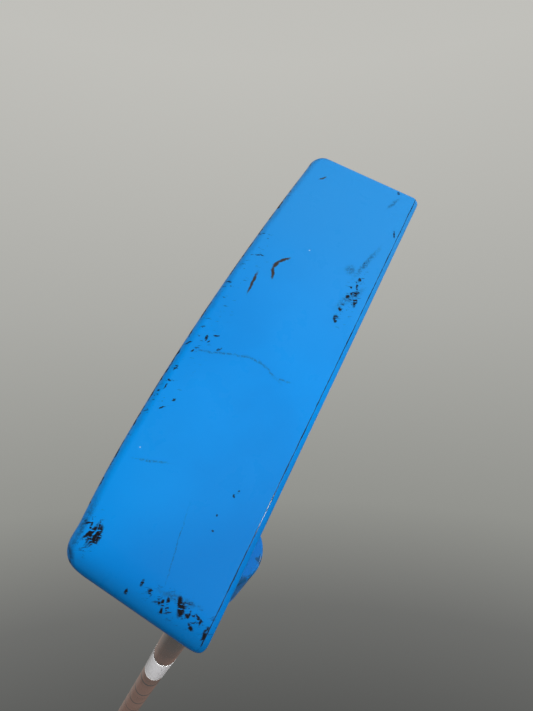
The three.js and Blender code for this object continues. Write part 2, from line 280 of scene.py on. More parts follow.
def head_section(x, end, from_end):
    """One slice across the head, as (y, z) points. All have blade and flange, those at the ends a pad too."""
    top = mix(HEEL_TOP, TOE_TOP, (x - heel_x) / (toe_x - heel_x))
    pad = ease((abs(x) - (toe_x - PAD_LENGTH)) / PAD_SLANT)
    face_at_top = front_y - (top - BEVEL_HEIGHT) * FACE_LEAN
    face_at_pad = front_y - (PAD_HEIGHT - BEVEL_HEIGHT) * FACE_LEAN
    blade_back = face_at_top - TOP_LINE
    back = back_edge(x)
    rear = face_at_pad - TOP_LINE - PAD_DEPTH
    foot = blade_back - BLADE_FLARE
    ring = rounded_ring([
        (front_y - LEADING_BEVEL, 0, 0.35 * MM),
        (front_y, BEVEL_HEIGHT, 0.5 * MM),
        (face_at_top, top, 0.9 * MM),
        (blade_back, top, 1.2 * MM),
        (foot, mix(FLANGE_HEIGHT, PAD_HEIGHT, pad), 2.5 * MM),
        (mix(foot - 5 * MM, rear + PAD_REAR_SLOPE, pad), mix(FLANGE_HEIGHT, PAD_REAR_HEIGHT, pad), 2 * MM),
        (mix(foot - 10 * MM, rear, pad), FLANGE_HEIGHT, 0.8 * MM),
        (back + FLANGE_EDGE, FLANGE_HEIGHT, 0.9 * MM),
        (back, FLANGE_HEIGHT - FLANGE_EDGE, 0.9 * MM),
        (back, FLANGE_EDGE, 0.8 * MM),
        (back + FLANGE_EDGE, 0, 0.8 * MM),
    ])
    sole = [ring[-1].lerp(ring[0], i / SOLE_POINTS) for i in range(1, SOLE_POINTS)]
    ring = ring + sole
    lift = rounding(end["under"], from_end)
    drop = rounding(end["over"], from_end)
    behind = rounding(end["behind"], from_end)
    front = rounding(end["front"], from_end)
    soft = rounding(END_SOFTNESS, from_end)
    shaped = []
    for i, point in enumerate(ring):
        tangent = ring[(i + 1) % len(ring)] - ring[i - 1]
        inward = Vector((-tangent.y, tangent.x)).normalized() * soft
        y, z = point.x, point.y
        if z < FLANGE_HEIGHT:
            z = mix(lift, FLANGE_HEIGHT, z / FLANGE_HEIGHT)
        elif z > PAD_HEIGHT:
            z = mix(PAD_HEIGHT, top - drop, (z - PAD_HEIGHT) / (top - PAD_HEIGHT))
        if y < foot:
            y = mix(back + behind, foot, (y - back) / (foot - back))
        else:
            y = mix(foot, front_y - front, (y - foot) / (front_y - foot))
        shaped.append((y + inward.x, z + inward.y))
    return shaped


def slanted(x, y, from_end, taper, side):
    """An end of the head leans in towards its back corner. The lean dies out over the pad."""
    share = (front_y - y) / (front_y - corner_y)
    return x - side * taper * share * (1 - ease(from_end / PAD_LENGTH))


from_ends = [END_REACH * (i / END_STATIONS) ** 2 for i in range(END_STATIONS)]
from_ends += [END_REACH + i * STATION_PITCH for i in range(5)]
from_ends += [PAD_LENGTH - PAD_SLANT + PAD_SLANT * i / 8 for i in range(9)]
heel_half = [(heel_x + d, HEEL_ROUNDING, d, HEEL_TAPER, -1) for d in from_ends]
toe_half = [(toe_x - d, TOE_ROUNDING, d, TOE_TAPER, 1) for d in reversed(from_ends)]
inner_ends = (heel_half[-1][0], toe_half[0][0])
middle = [mix(*inner_ends, i / MIDDLE_STATIONS) for i in range(1, MIDDLE_STATIONS)]
stations = heel_half + [(x, HEEL_ROUNDING, 1.0, 0.0, 1) for x in middle] + toe_half
sections = []
for x, end, from_end, taper, side in stations:
    ring = head_section(x, end, from_end)
    sections.append([(slanted(x, y, from_end, taper, side), y, z) for y, z in ring])
head = lofted("painted_head", sections)

HOSEL_RADIUS = 7.0 * MM
HOSEL_UNDERSIDE = 24.2 * MM
HOSEL_TOP = 47.6 * MM
HOSEL_SOFT_EDGE = 0.6 * MM
BORE_RADIUS = 5.05 * MM
BORE_FLOOR = 29.2 * MM
BARREL_SIDES = 96
ROOT_BASE = 15.0 * MM
ROOT_TOP = 34.0 * MM
ROOT_SPREAD = 6.5 * MM
ROOT_STATIONS = 14
ROOT_SIDES = 64
GROOVE_WIDTH = 1.8 * MM
GROOVE_LENGTH = 17.0 * MM
GROOVE_DEPTH = 1.0 * MM
GROOVE_REAR_GAP = 3.2 * MM
GROOVE_CORNER = 0.45 * MM
ROOT_INSET = 0.3 * MM

# The shaft's axis, from where it meets the ground up towards the butt
hand_hold = next(m for m in frame["record"]["mounts"] if m["name"] == "hand_hold")
axis = Vector(hand_hold["axis"]).normalized()
held_at = Vector(hand_hold["pos_m"])
foot = held_at - axis * (held_at.z / axis.z)
onto_axis = Matrix.Translation(foot) @ Matrix.Rotation(-SHAFT_LEAN, 4, "Y")


def on_axis(piece):
    """Moves a piece made round the Z axis onto the shaft's axis, in its mesh."""
    piece.data.transform(onto_axis)
    piece.data.update()


def upright_rod(name, radius, low, high, sides):
    bpy.ops.object.select_all(action="DESELECT")
    bpy.ops.mesh.primitive_cylinder_add(vertices=sides, radius=radius, depth=high - low)
    rod = bpy.context.object
    rod.name = name
    rod.data.transform(Matrix.Translation((0, 0, (low + high) / 2)))
    return rod


root_rings = []
for i in range(ROOT_STATIONS):
    share = i / (ROOT_STATIONS - 1)
    z = mix(ROOT_BASE, ROOT_TOP, share)
    half_length = HOSEL_RADIUS - ROOT_INSET + ROOT_SPREAD * (1 - share) ** 2
    half_depth = mix(3.6 * MM, HOSEL_RADIUS - ROOT_INSET, ease(share * 1.4))
    middle_y = mix(front_y - 4.6 * MM, foot.y, ease(share * 1.4))
    face_here = front_y - (z - BEVEL_HEIGHT) * FACE_LEAN - 0.1 * MM
    ring = []
    for j in range(ROOT_SIDES):
        turn = 2 * math.pi * j / ROOT_SIDES
        y = middle_y + half_depth * math.sin(turn)
        if z < HOSEL_UNDERSIDE + 1 * MM:
            y = min(y, face_here)
        ring.append((foot.x - z * math.tan(SHAFT_LEAN) + half_length * math.cos(turn), y, z))
    root_rings.append(ring)
cut_or_join(head, "UNION", lofted("neck_root", root_rings))

barrel = upright_rod("hosel_barrel", HOSEL_RADIUS, 0, HOSEL_TOP, BARREL_SIDES)
on_axis(barrel)
only(barrel)
bpy.ops.object.mode_set(mode="EDIT")
bpy.ops.mesh.select_all(action="SELECT")
bpy.ops.mesh.bisect(plane_co=(0, 0, HOSEL_UNDERSIDE), plane_no=(0, 0, 1), clear_inner=True, use_fill=True)
bpy.ops.object.mode_set(mode="OBJECT")
rim = {"limit_method": "ANGLE", "angle_limit": math.radians(40)}
apply_modifier(barrel, "BEVEL", width=HOSEL_SOFT_EDGE, segments=3, **rim)
cut_or_join(head, "UNION", barrel)
bore = upright_rod("bore_cutter", BORE_RADIUS, BORE_FLOOR, HOSEL_TOP + 5 * MM, BARREL_SIDES)
on_axis(bore)
cut_or_join(head, "DIFFERENCE", bore)

bpy.ops.object.select_all(action="DESELECT")
bpy.ops.mesh.primitive_cube_add(size=1)
groove = bpy.context.object
groove.data.transform(Matrix.Diagonal((GROOVE_WIDTH, GROOVE_LENGTH, 2 * GROOVE_DEPTH, 1)))
groove.data.transform(Matrix.Translation((0, back_y + GROOVE_REAR_GAP + GROOVE_LENGTH / 2, FLANGE_HEIGHT)))
apply_modifier(groove, "BEVEL", width=GROOVE_CORNER, segments=3, limit_method="ANGLE")
cut_or_join(head, "DIFFERENCE", groove)
only(head)
bpy.ops.object.shade_smooth_by_angle(angle=math.radians(32))
apply_modifier(head, "WEIGHTED_NORMAL", keep_sharp=True, weight=80)

PAINT_BLUE = (0.0, 0.255, 0.75, 1)
PAINT_THIN = (0.0, 0.225, 0.68, 1)
# This colour is a painted sheen towards the toe.
PAINT_TOE_SHEEN = (0.020, 0.245, 0.64, 1)
# These two colours are painted shade, towards the heel and on the rounded heel end.
PAINT_HEEL_SHADE = (0.0, 0.190, 0.60, 1)
PAINT_ROLL_SHADE = (0.0, 0.145, 0.44, 1)
BARE_BLACK = (0.006, 0.006, 0.008, 1)
RUST = (0.040, 0.032, 0.030, 1)
SCUFF = (0.01, 0.09, 0.22, 1)
PALE_CHIP = (0.45, 0.60, 0.78, 1)
PAINT_ROUGHNESS = 0.30
WORN_ROUGHNESS = 0.62
PEEL_DEPTH = 0.004 * MM
PAINT_GLOSS = 0.06
LACQUER = 0.09
LACQUER_ROUGHNESS = 0.09
# The plain marks on the sole, in millimetres: a width, then the points that the stroke runs through
BLACK_STROKES = [
    (1.1, (-54.5, 9.5), (-53.5, 9.5)),
    (0.8, (-53.5, 9), (-52.5, 8.5)),
    (0.6, (-56.5, 15), (-54.5, 15)),
    (0.8, (-50.5, -9.5), (-49, -10)),
    (0.9, (13, 10.5), (13.5, 10.5)),
    (0.7, (18.5, 13), (20, 13)),
    (0.6, (56.5, 10.5), (57, 10.5)),
    (0.35, (42.5, 14.5), (44, 14)),
    (0.3, (19, -13), (19.5, -11.5)),
]
RUSTY_STROKES = [
    (0.65, (15.5, -7), (18, -8), (20, -7.5), (22, -6)),
    (0.5, (9, -10), (14, -10.5)),
    (0.3, (49, -9.5), (50.5, -8.5)),
]
SCUFFED_STROKES = [
    (0.35, (-6.5, 7.5), (-7, 5), (-5.5, 1), (-5.5, -2), (-6.5, -5), (-9, -11)),
    (0.16, (-41, 2.5), (-50, 4.5)),
    (1.2, (18, 10.5), (22, 12.5)),
    (1.5, (27, 8.5), (27.5, 8.5)),
    (0.8, (28, 10.5), (35, 12)),
    (0.6, (51, 10), (54, 11)),
    (0.3, (-35, -10.5), (-33.5, -6.5)),
    (0.8, (-53, 6), (-52.5, 10.5)),
    (0.9, (-52.5, -13), (-46.5, -13.5)),
]
PALE_STROKES = [
    (0.25, (-33, -12), (-33, -12)),
    (0.25, (27, -2.5), (27, -2.5)),
]
# Where small chips gather: how many, their middle, their spread, the longest, the widest, and how they slant
CHIP_CLUSTERS = [
    (18, (-54.3, 9), (0.8, 3.8), 0.9, 0.6, 150),
    (11, (-50.2, -11), (1.1, 1.3), 3.0, 0.6, 0),
    (15, (20, 11.8), (4.0, 0.9), 0.4, 0.7, 0),
    (14, (-10, -13.2), (6.0, 1.8), 1.1, 0.42, 30),
    (4, (-40, 7), (4.0, 2.0), 0.3, 0.4, 0),
]
CHIPS_SEED = 7
# Where the blue is rubbed through in a loose patch, in the same form as the strokes
RUBBED_STROKES = [
    (3.2, (-54, 5.5), (-54.2, 14)),
    (3.0, (-52, -11), (-48.5, -12)),
    (3.0, (15, 11.6), (26, 11.6)),
]


def drawn_strokes(strokes):
    """Splits each stroke into straight marks, as (from x, from y, to x, to y, width)."""
    marks = []
    for width, *points in strokes:
        for start, end in zip(points, points[1:]):
            marks.append((*start, *end, width))
    return marks


def scattered_chips(clusters, seed):
    """Small chips strewn by chance round the middle of each cluster, in the same form as the marks."""
    chance = random.Random(seed)
    marks = []
    for count, middle, spread, longest, widest, slant in clusters:
        for chip in range(count):
            x = chance.gauss(middle[0], spread[0])
            y = chance.gauss(middle[1], spread[1])
            turn = math.radians(slant + chance.uniform(-30, 30))
            half_x = 0.5 * longest * chance.uniform(0.2, 1.0) * math.cos(turn)
            half_y = 0.5 * longest * chance.uniform(0.2, 1.0) * math.sin(turn)
            width = widest * chance.uniform(0.5, 1.0)
            marks.append((x - half_x, y - half_y, x + half_x, y + half_y, width))
    return marks


FAR_FROM_MARKS = 10.0
NO_SHIFT = 1e-9


def put(tree, kind, inputs, **settings):
    """Adds one node to a material. Its inputs are numbers, or outputs of nodes that are there already."""
    new = tree.nodes.new(kind)
    for key, value in settings.items():
        setattr(new, key, value)
    for socket, value in inputs.items():
        if isinstance(value, bpy.types.NodeSocket):
            tree.links.new(value, new.inputs[socket])
        else:
            new.inputs[socket].default_value = value
    return new


def sum_of(tree, operation, first, second=0.0, third=0.0):
    return put(tree, "ShaderNodeMath", {0: first, 1: second, 2: third}, operation=operation).outputs[0]


def vectors(tree, operation, first, second=(0, 0, 0), third=(0, 0, 0)):
    inputs = {0: first, 1: second, 2: third}
    return put(tree, "ShaderNodeVectorMath", inputs, operation=operation).outputs[0]


def grain(tree, place, scale, detail=2.0, roughness=0.5):
    inputs = {"Vector": place, "Scale": scale, "Detail": detail, "Roughness": roughness}
    return put(tree, "ShaderNodeTexNoise", inputs).outputs["Fac"]


def ramp_between(tree, value, low, high, start=0.0, end=1.0):
    """Runs smoothly from start to end as the value goes from low to high."""
    inputs = {"Value": value, "From Min": low, "From Max": high, "To Min": start, "To Max": end}
    return put(tree, "ShaderNodeMapRange", inputs, interpolation_type="SMOOTHSTEP").outputs["Result"]


def blend_colour(tree, share, first, second):
    return put(tree, "ShaderNodeMix", {0: share, 6: first, 7: second}, data_type="RGBA").outputs[2]


def shaken(tree, place, scale, reach):
    """The place, shifted by up to the reach, so that what is drawn at it gets a ragged outline."""
    noise = put(tree, "ShaderNodeTexNoise", {"Vector": place, "Scale": scale, "Detail": 3.0}).outputs["Color"]
    centred = vectors(tree, "SUBTRACT", noise, (0.5, 0.5, 0.5))
    return vectors(tree, "MULTIPLY_ADD", centred, (2 * reach,) * 3, place)


def marks_mask(tree, place, marks, softness=0.35):
    """1 inside any of the marks and 0 away from them. Each mark waits for the last, which spares memory."""
    nearest = put(tree, "ShaderNodeValue", {}).outputs[0]
    nearest.default_value = FAR_FROM_MARKS
    for x0, y0, x1, y1, width in marks:
        across = Vector((x1 - x0, y1 - y0))
        queued = vectors(tree, "MULTIPLY_ADD", nearest, (NO_SHIFT,) * 3, place)
        inputs = {
            "Vector": queued,
            "Location": ((x0 + x1) / 2 * MM, (y0 + y1) / 2 * MM, 0),
            "Rotation": (0, 0, math.atan2(across.y, across.x)),
            "Scale": ((across.length + width) * 0.56 * MM, width * 0.62 * MM, 1),
        }
        local = put(tree, "ShaderNodeMapping", inputs, vector_type="TEXTURE").outputs[0]
        length = put(tree, "ShaderNodeVectorMath", {0: local}, operation="LENGTH")
        nearest = sum_of(tree, "MINIMUM", length.outputs["Value"], nearest)
    return ramp_between(tree, nearest, 1 + softness, 1 - softness)


head_material, nodes, links = new_material("worn_blue_paint")
tree = head_material.node_tree
place = put(tree, "ShaderNodeTexCoord", {}).outputs["Object"]
split = put(tree, "ShaderNodeSeparateXYZ", {0: place})
x, y, z = split.outputs
flat = put(tree, "ShaderNodeCombineXYZ", {0: x, 1: y}).outputs[0]
ragged = shaken(tree, shaken(tree, flat, 650, 0.42 * MM), 2600, 0.20 * MM)
ragged_split = put(tree, "ShaderNodeSeparateXYZ", {0: ragged})
under = ramp_between(tree, z, 1.4 * MM, 0.9 * MM)

# The black undercoat shows in a thin broken line where the sole meets the bevel, and along the back edge.
along_head = put(tree, "ShaderNodeCombineXYZ", {0: x}).outputs[0]
patchy = grain(tree, along_head, 160, 4.0, 0.65)
near_true = put(tree, "ShaderNodeSeparateXYZ", {0: shaken(tree, flat, 500, 0.10 * MM)})
edge_at = sum_of(tree, "SUBTRACT", front_y - LEADING_BEVEL, near_true.outputs[1])
lead_width = ramp_between(tree, patchy, 0.35, 0.70, 0.05 * MM, 0.14 * MM)
off_edge = sum_of(tree, "ABSOLUTE", edge_at)
lead_line = ramp_between(tree, sum_of(tree, "DIVIDE", off_edge, lead_width), 1.3, 0.6)

edge_curve = put(tree, "ShaderNodeFloatCurve", {})
EDGE_KNOTS = 9
curve = edge_curve.mapping.curves[0]
for i in range(EDGE_KNOTS):
    share = i / (EDGE_KNOTS - 1)
    level = (back_edge(mix(heel_x, toe_x, share)) - back_y) / BACK_BOW
    if i < 2:
        curve.points[i].location = (share, level)
    else:
        curve.points.new(share, level)
edge_curve.mapping.update()
down_head = put(tree, "ShaderNodeMapRange", {"Value": x, "From Min": heel_x, "From Max": toe_x})
links.new(down_head.outputs[0], edge_curve.inputs["Value"])
from_back = sum_of(tree, "SUBTRACT", sum_of(tree, "SUBTRACT", ragged_split.outputs[1], back_y),
                   sum_of(tree, "MULTIPLY", edge_curve.outputs[0], BACK_BOW))
back_width = ramp_between(tree, patchy, 0.35, 0.70, 0.25 * MM, 0.60 * MM)
back_line = ramp_between(tree, sum_of(tree, "DIVIDE", from_back, back_width), 1.25, 0.8)
unevenness = ramp_between(tree, grain(tree, place, 330, 4.0, 0.7), 0.3, 0.7, 0.0, 2.4 * MM)
worn_height = sum_of(tree, "ADD", z, unevenness)
back_line = sum_of(tree, "MULTIPLY", back_line, ramp_between(tree, worn_height, 2.9 * MM, 2.2 * MM))
streak_turn = (0, 0, math.radians(-24))
streak_inputs = {"Vector": flat, "Rotation": streak_turn, "Scale": (1, 3.5, 1)}
streaks = put(tree, "ShaderNodeMapping", streak_inputs, vector_type="TEXTURE").outputs[0]
flecks = ramp_between(tree, grain(tree, streaks, 1500, 4.0, 0.65), 0.60, 0.66)
off_middle = sum_of(tree, "ABSOLUTE", sum_of(tree, "ADD", x, -0.5 * MM))
middle_of_back = ramp_between(tree, off_middle, 34 * MM, 18 * MM)
fleck_reach = ramp_between(tree, middle_of_back, 0, 1, 1.6 * MM, 7.5 * MM)
fleck_zone = ramp_between(tree, sum_of(tree, "DIVIDE", from_back, fleck_reach), 1.0, 0.1)
ticks = sum_of(tree, "MULTIPLY", sum_of(tree, "MULTIPLY", flecks, fleck_zone), under)
lead_line = sum_of(tree, "MULTIPLY", lead_line, under)
edges = sum_of(tree, "MAXIMUM", sum_of(tree, "MAXIMUM", lead_line, back_line), ticks)

chips = marks_mask(tree, ragged, drawn_strokes(BLACK_STROKES) + scattered_chips(CHIP_CLUSTERS, CHIPS_SEED))
chips = sum_of(tree, "MULTIPLY", chips, ramp_between(tree, grain(tree, streaks, 2400, 3.0), 0.40, 0.47))
rust = marks_mask(tree, ragged, drawn_strokes(RUSTY_STROKES))
scuffs = marks_mask(tree, ragged, drawn_strokes(SCUFFED_STROKES), 0.9)
pale = marks_mask(tree, ragged, drawn_strokes(PALE_STROKES))
rub = marks_mask(tree, ragged, drawn_strokes(RUBBED_STROKES), 0.6)
rubbed = sum_of(tree, "MULTIPLY", rub, ramp_between(tree, grain(tree, streaks, 1700, 4.0, 0.7), 0.565, 0.62))
corner_place = (heel_x + 2.6 * MM, corner_y + 0.3 * MM, 0)
heel_corner = put(tree, "ShaderNodeVectorMath", {0: ragged, 1: corner_place}, operation="DISTANCE")
near_corner = ramp_between(tree, heel_corner.outputs["Value"], 3.2 * MM, 1.8 * MM)
corner_wear = sum_of(tree, "MULTIPLY", near_corner, ramp_between(tree, z, 5.5 * MM, 2.0 * MM))
corner_grit = ramp_between(tree, grain(tree, place, 420, 4.0), 0.40, 0.58)
corner_wear = sum_of(tree, "MULTIPLY", corner_wear, corner_grit)

# Everywhere else the paint is only rubbed thin on the sharpest edges.
sharpness = put(tree, "ShaderNodeNewGeometry", {}).outputs["Pointiness"]
thin = sum_of(tree, "MULTIPLY", ramp_between(tree, sharpness, 0.511, 0.534),
              ramp_between(tree, grain(tree, place, 260, 5.0, 0.7), 0.50, 0.58))

worn = sum_of(tree, "MAXIMUM", sum_of(tree, "MULTIPLY", chips, under), edges)
worn = sum_of(tree, "MAXIMUM", worn, corner_wear)
worn = sum_of(tree, "MAXIMUM", worn, sum_of(tree, "MULTIPLY", rubbed, under))
rust = sum_of(tree, "MULTIPLY", rust, under)
scuffed = sum_of(tree, "MULTIPLY", sum_of(tree, "MULTIPLY", scuffs, under),
                 ramp_between(tree, grain(tree, flat, 1500, 4.0, 0.7), 0.36, 0.58, 0.0, 0.85))
pale = sum_of(tree, "MULTIPLY", pale, under)

cloudy = ramp_between(tree, grain(tree, place, 38, 3.0), 0.35, 0.70)
# Towards the toe the blue is greyed and given a little red: a painted sheen.
toe_sheen = ramp_between(tree, x, -12 * MM, 45 * MM)
# Towards the heel, most at its front corner, the blue is darkened: painted shade.
heel_shade = ramp_between(tree, sum_of(tree, "SUBTRACT", x, y), -32 * MM, -56 * MM)
# The rounded heel end is darkened further: painted shade on the roll.
heel_roll_shade = ramp_between(tree, x, heel_x + 6.5 * MM, heel_x + 1.5 * MM, 0.0, 0.85)
colour = blend_colour(tree, cloudy, PAINT_BLUE, PAINT_THIN)
colour = blend_colour(tree, toe_sheen, colour, PAINT_TOE_SHEEN)
colour = blend_colour(tree, heel_shade, colour, PAINT_HEEL_SHADE)
colour = blend_colour(tree, heel_roll_shade, colour, PAINT_ROLL_SHADE)
colour = blend_colour(tree, thin, colour, SCUFF)
colour = blend_colour(tree, scuffed, colour, SCUFF)
colour = blend_colour(tree, pale, colour, PALE_CHIP)
colour = blend_colour(tree, worn, colour, BARE_BLACK)
colour = blend_colour(tree, rust, colour, RUST)
broken = sum_of(tree, "MAXIMUM", worn, rust)
shader = shader_of(nodes)
links.new(colour, shader.inputs["Base Color"])
smear_range = (PAINT_ROUGHNESS - 0.05, PAINT_ROUGHNESS + 0.08)
smears = ramp_between(tree, grain(tree, place, 90, 4.0, 0.6), 0.3, 0.75, *smear_range)
roughness = put(tree, "ShaderNodeMix", {0: broken, 2: smears, 3: WORN_ROUGHNESS})
links.new(roughness.outputs[0], shader.inputs["Roughness"])
shader.inputs["Specular IOR Level"].default_value = PAINT_GLOSS
shader.inputs["Coat Weight"].default_value = LACQUER
shader.inputs["Coat Roughness"].default_value = LACQUER_ROUGHNESS
orange_peel = grain(tree, place, 900, 2.0)
peel = put(tree, "ShaderNodeBump", {"Height": orange_peel, "Distance": PEEL_DEPTH, "Strength": 0.6})
links.new(peel.outputs[0], shader.inputs["Normal"])
head.data.materials.clear()
head.data.materials.append(head_material)
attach(head, "root")
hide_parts("putter_head")


# Sight line. White enamel run into the groove across the flange behind the blade, which shows the middle of
# the face. It dries a little below the flange and picks up dirt.
SIGHT_LOW, SIGHT_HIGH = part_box("sight_line")
SIGHT_CORNER = 0.4 * MM
SIGHT_DISH = 0.08 * MM
SIGHT_MARGIN = 0.1 * MM
SIGHT_WHITE = (0.80, 0.80, 0.77, 1)
SIGHT_DIRT = (0.42, 0.42, 0.40, 1)

sight_size = Vector(SIGHT_HIGH) - Vector(SIGHT_LOW)
bpy.ops.object.select_all(action="DESELECT")
bpy.ops.mesh.primitive_cube_add(size=1)
sight = bpy.context.object
sight.name = "sight_paint_fill"
sight.data.transform(Matrix.Diagonal((*sight_size, 1)))
sight.data.transform(Matrix.Translation((Vector(SIGHT_LOW) + Vector(SIGHT_HIGH)) / 2))
apply_modifier(sight, "BEVEL", width=SIGHT_CORNER, segments=3, limit_method="ANGLE", affect="EDGES")
only(sight)
bpy.ops.object.mode_set(mode="EDIT")
bpy.ops.mesh.select_all(action="DESELECT")
bpy.ops.object.mode_set(mode="OBJECT")
for face in sight.data.polygons:
    face.select = face.normal.z > 0.99
bpy.ops.object.mode_set(mode="EDIT")
bpy.ops.mesh.inset(thickness=SIGHT_MARGIN, depth=-SIGHT_DISH)
bpy.ops.object.mode_set(mode="OBJECT")
bpy.ops.object.shade_smooth_by_angle(angle=math.radians(40))

sight_material, nodes, links = new_material("white_sight_paint")
tree = sight_material.node_tree
place = put(tree, "ShaderNodeTexCoord", {}).outputs["Object"]
dirt = ramp_between(tree, grain(tree, place, 700, 5.0, 0.7), 0.45, 0.72)
links.new(blend_colour(tree, dirt, SIGHT_WHITE, SIGHT_DIRT), shader_of(nodes).inputs["Base Color"])
links.new(ramp_between(tree, dirt, 0, 1, 0.45, 0.7), shader_of(nodes).inputs["Roughness"])
lumps = put(tree, "ShaderNodeBump", {"Height": grain(tree, place, 900, 3.0), "Distance": 0.03 * MM})
links.new(lumps.outputs[0], shader_of(nodes).inputs["Normal"])
sight.data.materials.append(sight_material)
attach(sight, "root")
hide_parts("sight_line")


# Shaft. A stepped steel tube, nickel and chrome plated, which widens by small steps towards the grip. It is
# glued into the hosel, and the plating has fine hairlines and a little haze.
TIP_RADIUS = 4.7 * MM
BUTT_RADIUS = 7.35 * MM
TUBE_WALL = 0.5 * MM
TIP_CHAMFER = 0.3 * MM
SHAFT_START = 29.5 * MM
SHAFT_END = 860.95 * MM
STEP_COUNT = 13
FIRST_STEP = 165 * MM
STEP_PITCH = 32 * MM
STEP_RAMP = 1.5 * MM
TUBE_SIDES = 96
RAMP_POINTS = 5
CLEAN_CHROME = (0.66, 0.66, 0.67, 1)
HAZY_CHROME = (0.55, 0.55, 0.545, 1)
PITTED_CHROME = (0.20, 0.16, 0.13, 1)


def round_ring(radius, height, sides=TUBE_SIDES):
    turns = [2 * math.pi * j / sides for j in range(sides)]
    return [(radius * math.cos(t), radius * math.sin(t), height) for t in turns]


def axis_place(tree):
    """Object coordinates turned so that Z runs up the shaft from the ground."""
    place = put(tree, "ShaderNodeTexCoord", {}).outputs["Object"]
    inputs = {"Vector": place, "Location": foot, "Rotation": (0, -SHAFT_LEAN, 0)}
    return put(tree, "ShaderNodeMapping", inputs, vector_type="TEXTURE").outputs[0]


def stretched(tree, place, scale):
    return put(tree, "ShaderNodeVectorMath", {0: place, 1: scale}, operation="MULTIPLY").outputs[0]


outside = [(TIP_RADIUS - TIP_CHAMFER, SHAFT_START), (TIP_RADIUS, SHAFT_START + TIP_CHAMFER)]
rise = (BUTT_RADIUS - TIP_RADIUS) / STEP_COUNT
for i in range(STEP_COUNT):
    height = SHAFT_START + FIRST_STEP + i * STEP_PITCH
    for j in range(RAMP_POINTS):
        part = j / (RAMP_POINTS - 1)
        outside.append((TIP_RADIUS + rise * (i + ease(part)), height + STEP_RAMP * part))
outside.append((BUTT_RADIUS, SHAFT_END))
inside = [(radius - TUBE_WALL, height) for radius, height in reversed(outside[1:])]
inside.append((TIP_RADIUS - TUBE_WALL, SHAFT_START))
tube_rings = [round_ring(radius, height) for radius, height in outside + inside + outside[:1]]
shaft = lofted("stepped_shaft", tube_rings, capped=False)
on_axis(shaft)
only(shaft)
bpy.ops.object.shade_smooth_by_angle(angle=math.radians(30))

chrome, nodes, links = new_material("worn_chrome")
tree = chrome.node_tree
place = axis_place(tree)
haze = ramp_between(tree, grain(tree, place, 45, 5.0, 0.65), 0.40, 0.72)
hairlines = grain(tree, stretched(tree, place, (1.0, 1.0, 14.0)), 420, 3.0, 0.6)
scratch = ramp_between(tree, grain(tree, stretched(tree, place, (9.0, 9.0, 0.7)), 160, 2.0, 0.5), 0.66, 0.70)
pits = ramp_between(tree, grain(tree, place, 1500, 2.0), 0.72, 0.76)
colour = blend_colour(tree, haze, CLEAN_CHROME, HAZY_CHROME)
colour = blend_colour(tree, pits, colour, PITTED_CHROME)
links.new(colour, shader_of(nodes).inputs["Base Color"])
shader_of(nodes).inputs["Metallic"].default_value = 1.0
clean_or_hazy = ramp_between(tree, haze, 0, 1, 0.10, 0.22)
roughness = sum_of(tree, "ADD", clean_or_hazy, sum_of(tree, "MULTIPLY", scratch, 0.18))
links.new(roughness, shader_of(nodes).inputs["Roughness"])
lines = put(tree, "ShaderNodeBump", {"Height": hairlines, "Distance": 0.004 * MM, "Strength": 0.5})
links.new(lines.outputs[0], shader_of(nodes).inputs["Normal"])
shaft.data.materials.append(chrome)
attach(shaft, "root")
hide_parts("shaft")


# Tip plug. A dark plastic stopper, pushed into the end of the tube to keep the glue out. It is only seen with
# the shaft cut open.
PLUG_BLACK = (0.03, 0.03, 0.03, 1)
PLUG_GREY = (0.06, 0.06, 0.058, 1)

plug_material, nodes, links = new_material("plug_plastic")
tree = plug_material.node_tree
place = axis_place(tree)
colour = blend_colour(tree, grain(tree, place, 600, 3.0), PLUG_BLACK, PLUG_GREY)
links.new(colour, shader_of(nodes).inputs["Base Color"])
roughness = ramp_between(tree, grain(tree, place, 300, 2.0), 0.3, 0.7, 0.45, 0.65)
links.new(roughness, shader_of(nodes).inputs["Roughness"])
for slot in frame["nodes"]["tip_plug"].material_slots:
    slot.material = plug_material


# Hosel glue. Amber epoxy fills the narrow gap between the tube and the hosel. It stands in a small bead at the
# top of the hosel.
GLUE_INNER = 4.75 * MM
GLUE_OUTER = 5.0 * MM
EPOXY_BROWN = (0.16, 0.10, 0.04, 1)
EPOXY_AMBER = (0.30, 0.22, 0.12, 1)
glue_rings = [
    round_ring(GLUE_INNER, SHAFT_START),
    round_ring(GLUE_OUTER, SHAFT_START),
    round_ring(GLUE_OUTER, HOSEL_TOP - 0.35 * MM),
    round_ring(GLUE_OUTER - 0.04 * MM, HOSEL_TOP - 0.18 * MM),
    round_ring(GLUE_OUTER - 0.12 * MM, HOSEL_TOP - 0.05 * MM),
    round_ring(GLUE_INNER, HOSEL_TOP),
    round_ring(GLUE_INNER, SHAFT_START),
]
glue = lofted("glue_bead", glue_rings, capped=False)
on_axis(glue)
only(glue)
bpy.ops.object.shade_smooth_by_angle(angle=math.radians(50))

glue_material, nodes, links = new_material("amber_epoxy")
tree = glue_material.node_tree
place = axis_place(tree)
colour = blend_colour(tree, grain(tree, place, 500, 4.0), EPOXY_BROWN, EPOXY_AMBER)
links.new(colour, shader_of(nodes).inputs["Base Color"])
roughness = ramp_between(tree, grain(tree, place, 900, 2.0), 0.3, 0.7, 0.2, 0.45)
links.new(roughness, shader_of(nodes).inputs["Roughness"])
glue.data.materials.append(glue_material)
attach(glue, "root")
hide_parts("hosel_glue")


# Shaft label. A strip of coated paper wrapped once round the tube, with its end lapped over its start. It is
# left plain here.
LABEL_START = 144 * MM
LABEL_END = 179 * MM
LABEL_INNER = 4.75 * MM
LABEL_PLY = 0.13 * MM
LAP_START = 4.0
LAP_ANGLE = 0.35
LABEL_RINGS = 24
LABEL_SKEW = 0.35 * MM
WAVINESS = 0.01 * MM
CLEAN_PAPER = (0.78, 0.78, 0.79, 1)
PAPER_RIM = (0.50, 0.50, 0.52, 1)
PAPER_GRIME = (0.30, 0.27, 0.24, 1)


